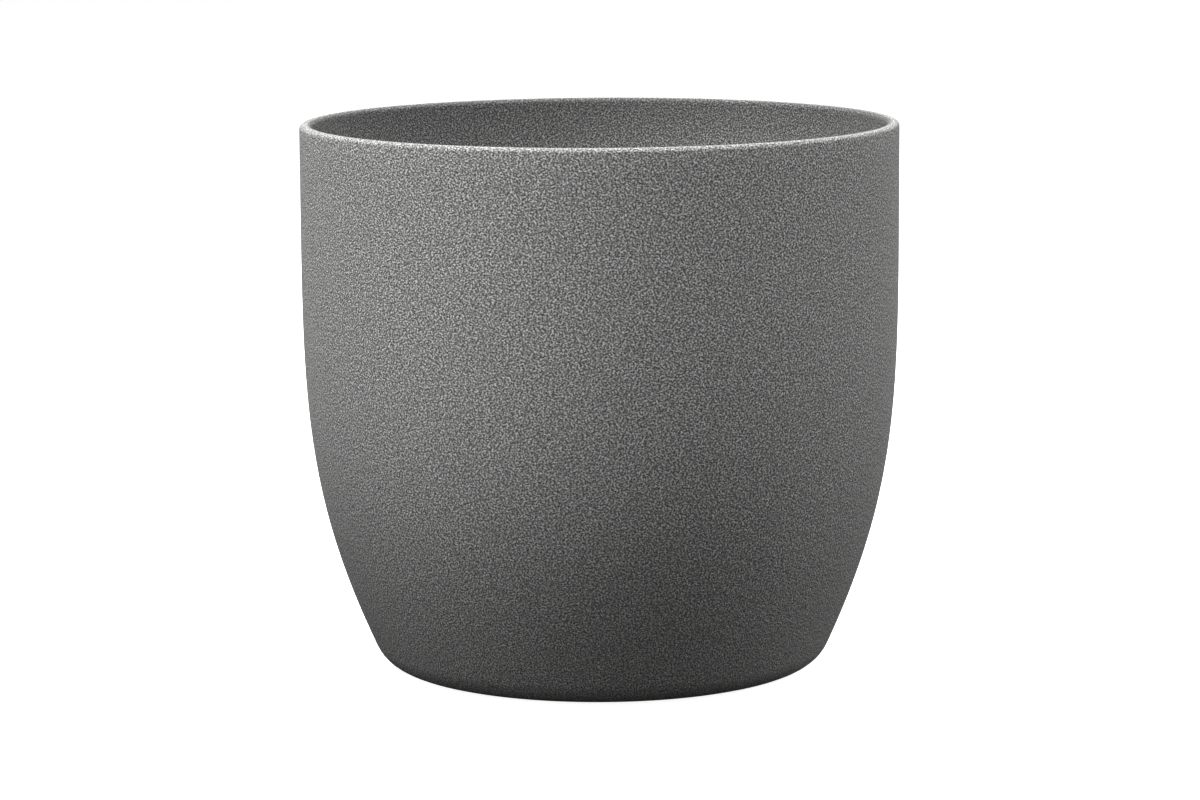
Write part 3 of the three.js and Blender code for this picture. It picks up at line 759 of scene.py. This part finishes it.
cup_places = [middle_of(f"wick_cup_{number}") for number in range(1, 5)]
gauge_place = middle_of("float")
fill_forward = 51.1 * mm  # from the pot's axis to the fill tube's
fill_place = (Vector(joints["lid_hinge"]["pos_m"]).x, -fill_forward)
cup_radius, fill_radius, chamber_radius = 15 * mm, 15 * mm, 13 * mm
plate_holes = [(*place, cup_radius + hole_gap) for place in cup_places]
plate_holes.append((*fill_place, fill_radius + hole_gap))
plate_holes.append((*gauge_place, chamber_radius + hole_gap))
inner_slots = 12
plate_slots = [
    (12 * mm, 32 * mm, slot_width, math.tau * (i + 0.5) / inner_slots) for i in range(inner_slots)
]
for fan in range(6):
    for step in range(-2, 3):
        angle = math.tau * (fan + 0.5) / 6 + math.radians(5 * step)
        plate_slots.append((
            platform_radius - 24 * mm, platform_radius - 5 * mm, slot_width, angle,
        ))
bm = flat_plate(
    "plate", platform_radius, plate_holes, plate_slots, plate_bottom, plate_thickness, 0.35 * mm,
)
skirt_inner = platform_radius - skirt_wall
skirt_low, skirt_high = plate_top - 0.8 * mm, platform_high.z
joined(bm, turned([
    (skirt_inner, skirt_low), (platform_radius, skirt_low),
    (platform_radius, skirt_high - skirt_chamfer), (platform_radius - skirt_chamfer, skirt_high),
    (skirt_inner + skirt_chamfer, skirt_high), (skirt_inner, skirt_high - skirt_chamfer),
], 160, closed=True))
collar_top = plate_bottom + 0.6 * mm
for x, y, radius in plate_holes:
    ring = turned([
        (radius, platform_low.z), (radius + collar_wall, platform_low.z),
        (radius + collar_wall, collar_top), (radius, collar_top),
    ], 64, closed=True)
    bmesh.ops.translate(ring, verts=ring.verts, vec=(x, y, 0))
    joined(bm, ring)
platform = made("separator_platform", bm, platform_plastic, 8)
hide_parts("platform")
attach(platform, "platform")


# ---------------------------------------------------------------- the wick cups
# Four tapered baskets that hang in the platform by their flanges. Soil packed into them reaches down
# into the water, which comes in through six tall windows and a hole in the foot.

cup_wall = 1.8 * mm
cup_foot_radius, cup_flange_radius = 12 * mm, 18.5 * mm
cup_drain = 4 * mm
cup_window_rows = (5.4 * mm, 27.4 * mm)
cup_window_half_angle = 10
cup_steps = 72
for number, (x, y) in enumerate(cup_places, 1):
    node = f"wick_cup_{number}"
    low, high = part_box(node)
    shoulder_level = platform_low.z
    taper = (cup_radius - cup_foot_radius) / (shoulder_level - low.z)
    inside = [cup_foot_radius - cup_wall + taper * rise for rise in cup_window_rows]
    outline = [(cup_drain, low.z + cup_wall), (cup_foot_radius - cup_wall, low.z + cup_wall)]
    outline += [(radius, low.z + rise) for radius, rise in zip(inside, cup_window_rows)]
    outline += [(cup_radius - cup_wall, shoulder_level), (cup_radius - cup_wall, high.z)]
    outline += [(cup_flange_radius, high.z)]
    bm = turned(outline, cup_steps)
    facing(bm, Vector((0, 0, 1)))
    window_low, window_high = (low.z + rise for rise in cup_window_rows)
    without(bm, lambda angle, height: window_low < height < window_high
            and from_centre(angle, 30, 60) < cup_window_half_angle)
    turn = Matrix.Rotation(math.tau * (number - 1) / 6, 4, "Z")
    bmesh.ops.transform(bm, matrix=Matrix.Translation((x, y, 0)) @ turn, verts=bm.verts)
    cup = made(f"wick_basket_{number}", bm, platform_plastic)
    thickened(cup, cup_wall, 0.35 * mm)
    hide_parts(node)
    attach(cup, "platform")


# ---------------------------------------------------------------- the fill tube
# The pipe that the watering can is emptied into: a wide mouth with two hinge ears, a flange that sits
# on the platform, and notches in its foot for the water to run out.

fill_wall = 1.8 * mm
mouth_radius = 18.5 * mm
mouth_height, mouth_flare = 7 * mm, 6 * mm
notch_height, notch_half_angle = 8 * mm, 17.5
fill_steps = 72
fill_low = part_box("fill_tube")[0]
fill_top = 200 * mm
hinge = Vector(joints["lid_hinge"]["pos_m"]) - Vector((*fill_place, 0))
mouth_bottom = fill_top - mouth_height
flare_bottom = mouth_bottom - mouth_flare
fill_inside, mouth_inside = fill_radius - fill_wall, mouth_radius - fill_wall
notch_top = fill_low.z + notch_height
fill_rows = (fill_low.z, notch_top, 62 * mm, 120 * mm, flare_bottom)
outline = [(fill_inside, level) for level in fill_rows]
outline += [(mouth_inside, mouth_bottom), (mouth_inside, fill_top)]
bm = turned(outline, fill_steps)
facing(bm, Vector((-1, 0, 0)))
half_step = Matrix.Rotation(math.pi / fill_steps, 3, "Z")  # puts a face astride each notch's middle
bmesh.ops.rotate(bm, verts=bm.verts, matrix=half_step)
without(bm, lambda angle, height: height < notch_top and from_centre(angle, 0, 90) < notch_half_angle)
bmesh.ops.translate(bm, verts=bm.verts, vec=(*fill_place, 0))
fill_tube = made("fill_pipe", bm, anthracite)
thickened(fill_tube, fill_wall, 0.4 * mm)
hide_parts("fill_tube")
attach(fill_tube, "platform")



def pushed_out(corners, push):
    """A solid made by pushing a flat face out along a vector."""
    bm = bmesh.new()
    face = bm.faces.new([bm.verts.new(corner) for corner in corners])
    grown = bmesh.ops.extrude_face_region(bm, geom=[face])["geom"]
    moved = [item for item in grown if isinstance(item, bmesh.types.BMVert)]
    bmesh.ops.translate(bm, verts=moved, vec=push)
    bmesh.ops.recalc_face_normals(bm, faces=bm.faces)
    return bm


flange_low, flange_high = plate_top + 0.3 * mm, plate_top + 2.3 * mm
flange_reach = 3.5 * mm
ears = turned([
    (fill_radius - 0.6 * mm, flange_low), (fill_radius + flange_reach, flange_low),
    (fill_radius + flange_reach, flange_high), (fill_radius - 0.6 * mm, flange_high),
], fill_steps, closed=True)
ear_start, ear_width, ear_round = 7 * mm, 3 * mm, 2.6 * mm
ear_root, ear_top = mouth_radius * 0.88, fill_top - 0.2 * mm
profile = [(ear_root, mouth_bottom), (hinge.y + ear_round, fill_top - 2 * ear_round)]
profile += arc((hinge.y, hinge.z), ear_round, 0, 180, 12)
profile += [(hinge.y - ear_round, ear_top), (ear_root, ear_top)]
for start in (-ear_start - ear_width, ear_start):
    ear = pushed_out([(start, along, height) for along, height in profile], (ear_width, 0, 0))
    joined(ears, ear)
bmesh.ops.translate(ears, verts=ears.verts, vec=(*fill_place, 0))
ears = made("fill_pipe_fittings", ears, anthracite)
eased(ears, 0.35 * mm)
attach(ears, "platform")


# ---------------------------------------------------------------- the lid
# A round flap over the tube's mouth, dished on top, with a plug below it, a thumb tab in front, a
# knuckle behind, and a raised drop to show what goes in.

lid_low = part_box("fill_lid")[0]
lid_radius = mouth_radius + 0.3 * mm
lid_bottom = fill_top + 0.3 * mm
lid_top = lid_bottom + 2.3 * mm
dish = 0.7 * mm
lid_round = 0.8 * mm
plug_radius, plug_chamfer = 12 * mm, 0.6 * mm
thumb_half = 6 * mm
knuckle_radius, knuckle_bore, knuckle_half = 2.6 * mm, 1.7 * mm, 6.6 * mm
outline = [
    (0, lid_low.z), (plug_radius - plug_chamfer, lid_low.z), (plug_radius, lid_low.z + plug_chamfer),
    (plug_radius, lid_bottom), (lid_radius - 0.4 * mm, lid_bottom), (lid_radius, lid_bottom + 0.4 * mm),
]
outline += arc((lid_radius - lid_round, lid_top - lid_round), lid_round, 0, 90, 5)
outline += [
    (lid_radius - 2.6 * mm, lid_top), (lid_radius - 3.4 * mm, lid_top - dish), (0, lid_top - dish),
]
lid = turned(outline, 96)
tab = block(
    (-thumb_half, -lid_radius - 4 * mm, lid_bottom),
    (thumb_half, -lid_radius + 2 * mm, lid_top - 0.4 * mm),
)
front = [edge for edge in tab.edges
         if all(vert.co.y < -lid_radius for vert in edge.verts)
         and abs(edge.verts[0].co.z - edge.verts[1].co.z) > 1 * mm]
bmesh.ops.bevel(
    tab, geom=front, offset=thumb_half / 2, segments=6, profile=0.5, affect="EDGES", material=-1,
)
web = block(
    (-knuckle_half, lid_radius - 2 * mm, lid_bottom + 0.3 * mm),
    (knuckle_half, hinge.y, lid_top - 0.3 * mm),
)
knuckle = turned([
    (knuckle_bore, -knuckle_half), (knuckle_radius, -knuckle_half),
    (knuckle_radius, knuckle_half), (knuckle_bore, knuckle_half),
], 40, closed=True)
turn = Matrix.Translation((0, hinge.y, hinge.z)) @ Matrix.Rotation(math.pi / 2, 4, "Y")
bmesh.ops.transform(knuckle, matrix=turn, verts=knuckle.verts)
drop_low = lid_top - dish - 0.2 * mm
drop_line = [(0, 7 * mm)] + arc((0, -2 * mm), 4.2 * mm, 28, -208, 28)
drop = pushed_out([(x, y, drop_low) for x, y in drop_line], (0, 0, 0.7 * mm))
joined(lid, tab, web, knuckle, drop)
bmesh.ops.translate(lid, verts=lid.verts, vec=(*fill_place, 0))
lid = made("pipe_lid", lid, handle_colour)
eased(lid, 0.25 * mm)
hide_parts("fill_lid")
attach(lid, "lid")


# ---------------------------------------------------------------- the level gauge
# A windowed chamber below the platform for the float, a guide tube above it for the float's rod, a
# drilled plug in its foot, and a clear cap on top in which the red bead shows.

gauge_low, gauge_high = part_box("gauge_body")
glass_low, glass_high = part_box("sight_glass")
gauge_wall, guide_radius = 1.6 * mm, 7 * mm
chamber_top, neck_top = flange_low + 2.4 * mm, flange_low + 8.4 * mm
window_low, window_high = gauge_low.z + 6 * mm, gauge_low.z + 30 * mm
window_half_angle = 15
chamber_inside, guide_inside = chamber_radius - gauge_wall, guide_radius - gauge_wall
outline = [(chamber_inside, level) for level in (gauge_low.z, window_low, window_high, chamber_top)]
outline += [(guide_inside, level) for level in (neck_top, 120 * mm, gauge_high.z)]
bm = turned(outline, 72)
facing(bm, Vector((-1, 0, 0)))
without(bm, lambda angle, height: window_low < height < window_high
        and from_centre(angle, 45, 90) < window_half_angle)
bmesh.ops.translate(bm, verts=bm.verts, vec=(*gauge_place, 0))
gauge = made("gauge_tube", bm, anthracite)
thickened(gauge, gauge_wall, 0.3 * mm)
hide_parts("gauge_body")
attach(gauge, "platform")

glass_inside, glass_outside, dome = 7.4 * mm, 9 * mm, 5 * mm
seat_low, seat_high = glass_low.z - 3.3 * mm, glass_low.z - 0.3 * mm
flanges = turned([
    (chamber_radius - 0.5 * mm, flange_low), (chamber_radius + flange_reach, flange_low),
    (chamber_radius + flange_reach, chamber_top), (chamber_radius - 0.5 * mm, chamber_top),
], 72, closed=True)
joined(flanges, turned([
    (guide_radius - 0.5 * mm, seat_low), (glass_outside, seat_low),
    (glass_outside, seat_high), (guide_radius - 0.5 * mm, seat_high),
], 48, closed=True))
bmesh.ops.translate(flanges, verts=flanges.verts, vec=(*gauge_place, 0))
flanges = made("gauge_flanges", flanges, anthracite)
eased(flanges, 0.35 * mm)
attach(flanges, "platform")

cap_low, cap_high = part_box("chamber_cap")
cap_circle, cap_hole = 6.5 * mm, 2.2 * mm
cap_holes = [(cap_circle, 0), (0, cap_circle), (-cap_circle, 0), (0, -cap_circle)]
cap_holes = [(x, y, cap_hole) for x, y in cap_holes]
plug_low = cap_low.z + 1.5 * mm
bm = flat_plate("cap_flange", chamber_radius, cap_holes, [], cap_low.z, 1.8 * mm, 0.3 * mm)
joined(bm, flat_plate(
    "cap_plug", chamber_inside - 0.4 * mm, cap_holes, [], plug_low, cap_high.z - plug_low, 0.3 * mm,
))
bmesh.ops.translate(bm, verts=bm.verts, vec=(*gauge_place, 0))
plug = made("chamber_plug", bm, anthracite, 8)
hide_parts("chamber_cap")
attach(plug, "platform")

clear, tree, shader, coords = new_material("clear_plastic")
shader.inputs["Base Color"].default_value = (0.93, 0.97, 0.98, 1)
shader.inputs["Transmission Weight"].default_value = 1.0
shader.inputs["IOR"].default_value = 1.49
scuffs = noise(tree, 260, 4.0, 0.7)
tree.links.new(coords.outputs["Object"], scuffs.inputs["Vector"])
scuff_rough = ramp(tree, scuffs.outputs["Fac"], [(0.45, 0.03), (0.8, 0.14)])
tree.links.new(scuff_rough.outputs["Color"], shader.inputs["Roughness"])


def dome_line(radius, rise, steps):
    """A quarter of a flattened dome, from its edge up to the axis."""
    foot = glass_high.z - dome
    angles = [math.pi / 2 * i / steps for i in range(steps)]
    line = [(radius * math.cos(a), foot + rise * math.sin(a)) for a in angles]
    return line + [(0, foot + rise)]


outline = dome_line(glass_outside, dome, 12)[::-1] + [(glass_outside, glass_low.z)]
outline += [(glass_inside, glass_low.z)] + dome_line(glass_inside, dome - 1.6 * mm, 12)
bm = turned(outline, 64)
bmesh.ops.translate(bm, verts=bm.verts, vec=(*gauge_place, 0))
glass = made("sight_dome", bm, clear)
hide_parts("sight_glass")
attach(glass, "platform")

# Two printed rings on the cap mark the lowest and the highest level of the bead.
bead_travel = joints["float_rise"]["range_m"][1]
rod_low, rod_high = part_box("indicator_rod")
bead_radius, rod_radius, bead_height = 5 * mm, 1.6 * mm, 4 * mm
bead_middle = rod_high.z - bead_height / 2
mark_inner, mark_outer = glass_outside - 0.1 * mm, glass_outside + 0.08 * mm
mark_half = 0.3 * mm
marks = bmesh.new()
for height in (bead_middle, bead_middle + bead_travel):
    joined(marks, turned([
        (mark_inner, height - mark_half), (mark_outer, height - mark_half),
        (mark_outer, height + mark_half), (mark_inner, height + mark_half),
    ], 64, closed=True))
bmesh.ops.translate(marks, verts=marks.verts, vec=(*gauge_place, 0))
marks = made("level_marks", marks, anthracite)
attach(marks, "platform")

# The rod and its bead are one red moulding. The rod is pushed into the float.
red = plastic("signal_red", (0.56, 0.020, 0.012), 0.3, 1800, 0.02 * mm)
bead_low, bead_round = rod_high.z - bead_height, 1.2 * mm
outline = [(0, rod_low.z), (rod_radius - 0.4 * mm, rod_low.z), (rod_radius, rod_low.z + 0.4 * mm)]
outline += [(rod_radius, bead_low)]
outline += arc((bead_radius - bead_round, bead_low + bead_round), bead_round, -90, 0, 5)
outline += arc((bead_radius - bead_round, rod_high.z - bead_round), bead_round, 0, 90, 5)
outline += [(0, rod_high.z)]
bm = turned(outline, 40)
bmesh.ops.translate(bm, verts=bm.verts, vec=(*gauge_place, 0))
rod = made("level_rod", bm, red)
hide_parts("indicator_rod")
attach(rod, "float")

# The float is a turned plug of closed-cell foam, with a socket that the rod is pushed into.
foam, tree, shader, coords = new_material("float_foam")
bubbles = tree.nodes.new("ShaderNodeTexVoronoi")
bubbles.inputs["Scale"].default_value = 1100
tree.links.new(coords.outputs["Object"], bubbles.inputs["Vector"])
foam_tone = ramp(tree, bubbles.outputs["Distance"], [
    (0.1, (0.62, 0.59, 0.51)), (0.6, (0.85, 0.82, 0.74)),
])
tree.links.new(foam_tone.outputs["Color"], shader.inputs["Base Color"])
shader.inputs["Roughness"].default_value = 0.85
bumped(tree, shader, bubbles.outputs["Distance"], 0.5, 0.15 * mm)
float_low, float_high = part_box("float")
float_radius, float_round = (float_high.x - float_low.x) / 2, 1 * mm
socket_radius, socket_floor = rod_radius + 0.4 * mm, rod_low.z - 0.3 * mm
outline = [(0, float_low.z)]
outline += arc((float_radius - float_round, float_low.z + float_round), float_round, -90, 0, 5)
outline += arc((float_radius - float_round, float_high.z - float_round), float_round, 0, 90, 5)
outline += [(socket_radius, float_high.z), (socket_radius, socket_floor), (0, socket_floor)]
bm = turned(outline, 64)
bmesh.ops.translate(bm, verts=bm.verts, vec=(*gauge_place, 0))
foam_float = made("foam_float", bm, foam)
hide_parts("float")
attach(foam_float, "float")


# ---------------------------------------------------------------- camera, lights and floor
# A long lens a little above the rim, and eight soft lights: a strong key high on the left, one high
# in front, and six round the pot, two of them behind it. The floor glows white and lights nothing.

lens_length = 125.9  # millimetres, as a lens is named
lens_height = 0.3654
lens_distance = 1.6788
lens_aside = 0.00035
lens_pitch = 8.718
lens_roll = 0.33

camera_data = bpy.data.cameras.new("camera")
camera_data.lens = lens_length
camera_data.sensor_width = 36
camera = bpy.data.objects.new("camera", camera_data)
camera.location = (-lens_aside, -lens_distance, lens_height)
level = Matrix.Rotation(math.radians(90 - lens_pitch), 3, "X")
camera.rotation_euler = (level @ Matrix.Rotation(-math.radians(lens_roll), 3, "Z")).to_euler()
bpy.context.scene.collection.objects.link(camera)
bpy.context.scene.camera = camera


light_aim = Vector((0, 0, 0.12))
light_distance = 1.8
light_size = 1.0


def soft_light(name, azimuth, elevation, power):
    """A square light aimed at the pot. azimuth is from the front, positive to the right."""
    data = bpy.data.lights.new(name, "AREA")
    data.size = light_size
    data.energy = power
    light = bpy.data.objects.new(name, data)
    turn, lift = math.radians(azimuth), math.radians(elevation)
    level = math.cos(lift)
    away = Vector((math.sin(turn) * level, -math.cos(turn) * level, math.sin(lift)))
    light.location = light_aim + away * light_distance
    light.rotation_euler = away.to_track_quat("Z", "Y").to_euler()
    bpy.context.scene.collection.objects.link(light)


soft_light("key_left", -62, 62, 70)
soft_light("low_left", -75, 14, 12)
soft_light("low_front", 15, 14, 8)
soft_light("edge_right", 100, 20, 20)
soft_light("high_front", 5, 62, 17)
soft_light("high_right", 75, 62, 11)
soft_light("back_right", 148, 30, 16)
soft_light("back_left", -152, 30, 16)

floor_material, tree, shader, coords = new_material("studio_floor")
shader.inputs["Base Color"].default_value = (0.86, 0.86, 0.86, 1)
shader.inputs["Roughness"].default_value = 0.7
shader.inputs["Emission Color"].default_value = (1, 1, 1, 1)
shader.inputs["Emission Strength"].default_value = 0.92
bm = bmesh.new()
bmesh.ops.create_circle(bm, cap_ends=True, segments=96, radius=9)
floor = made("studio_floor", bm, floor_material)
floor.visible_diffuse = False
floor.visible_glossy = False

world = bpy.data.worlds.new("studio")
world.use_nodes = True
tree = world.node_tree
backdrop = tree.nodes["Background"]
backdrop.inputs["Color"].default_value = (1, 1, 1, 1)
ambient = tree.nodes.new("ShaderNodeBackground")
ambient.inputs["Color"].default_value = (1, 1, 1, 1)
ambient.inputs["Strength"].default_value = 0.03
rays = tree.nodes.new("ShaderNodeLightPath")
choice = tree.nodes.new("ShaderNodeMixShader")
tree.links.new(rays.outputs["Is Camera Ray"], choice.inputs["Fac"])
tree.links.new(ambient.outputs["Background"], choice.inputs[1])
tree.links.new(backdrop.outputs["Background"], choice.inputs[2])
tree.links.new(choice.outputs["Shader"], tree.nodes["World Output"].inputs["Surface"])
bpy.context.scene.world = world
bpy.context.scene.view_settings.view_transform = "Standard"
